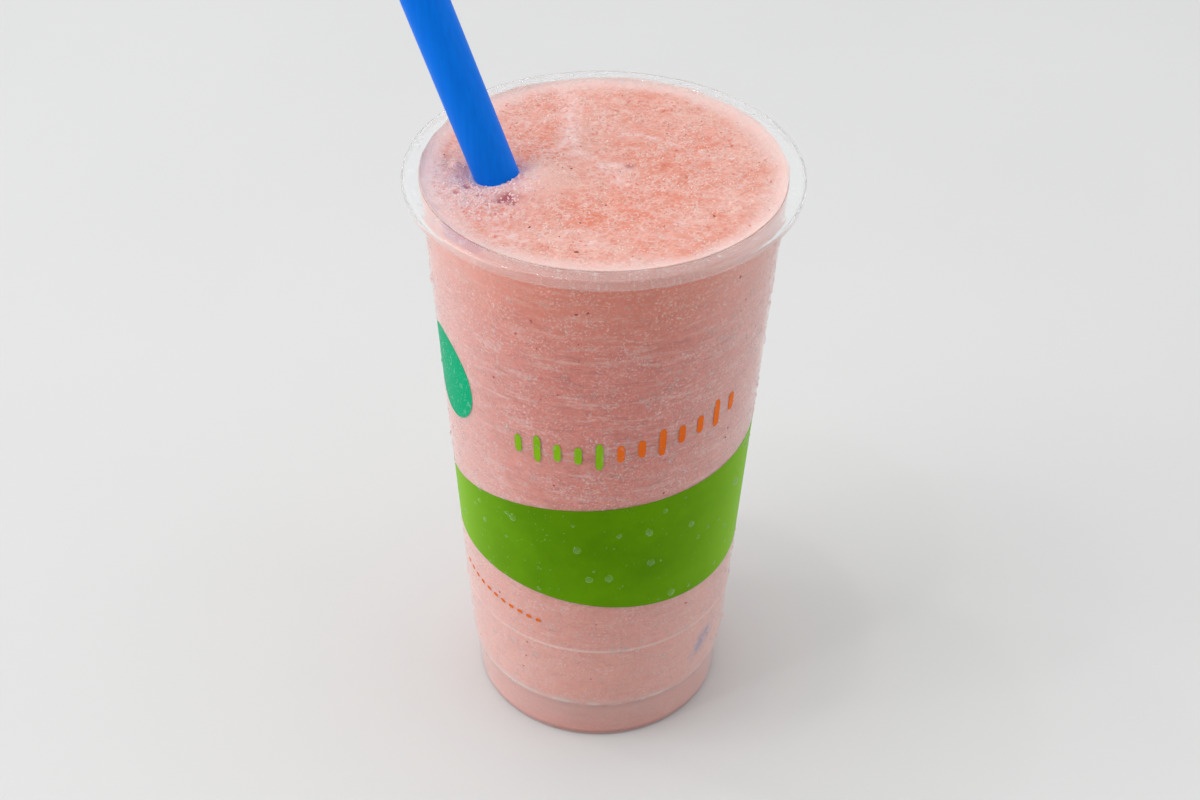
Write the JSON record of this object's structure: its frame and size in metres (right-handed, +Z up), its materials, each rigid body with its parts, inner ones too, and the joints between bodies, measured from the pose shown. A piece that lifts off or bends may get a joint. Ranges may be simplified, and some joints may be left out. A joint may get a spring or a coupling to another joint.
{
  "type": "strawberry smoothie",
  "caption": "Tall clear plastic cup filled to the rim with a thick pink strawberry smoothie, with a wide blue straw leaning in it.",
  "frame": {"origin": "the cup's axis, at the level of the ring that the cup stands on; the straw leans far enough to move the middle of the bounding box under 1 mm from it", "axes": "+Z up along the cup's axis; the straw leans towards -X, with its lower end down by the wall at +X and -Y; the printed band's lowest side faces -X"},
  "size_m": [0.0967, 0.095, 0.216],
  "materials": {
    "cup_plastic": "clear, glossy, thin",
    "smoothie": "thick blended fruit, moist, finely grained",
    "straw_plastic": "smooth satin",
    "print_green": "printed ink on clear plastic",
    "print_teal": "printed ink on clear plastic",
    "print_lime": "printed ink on clear plastic",
    "print_orange": "printed ink on clear plastic",
    "froth": "fine pale froth and bubbles",
    "fruit_specks": "small dark red seeds and fruit bits",
    "water_drops": "clear condensation"
  },
  "bodies": {
    "root": {"cup": "cup_plastic", "smoothie": "smoothie", "straw": "straw_plastic"}
  },
  "joints": []
}
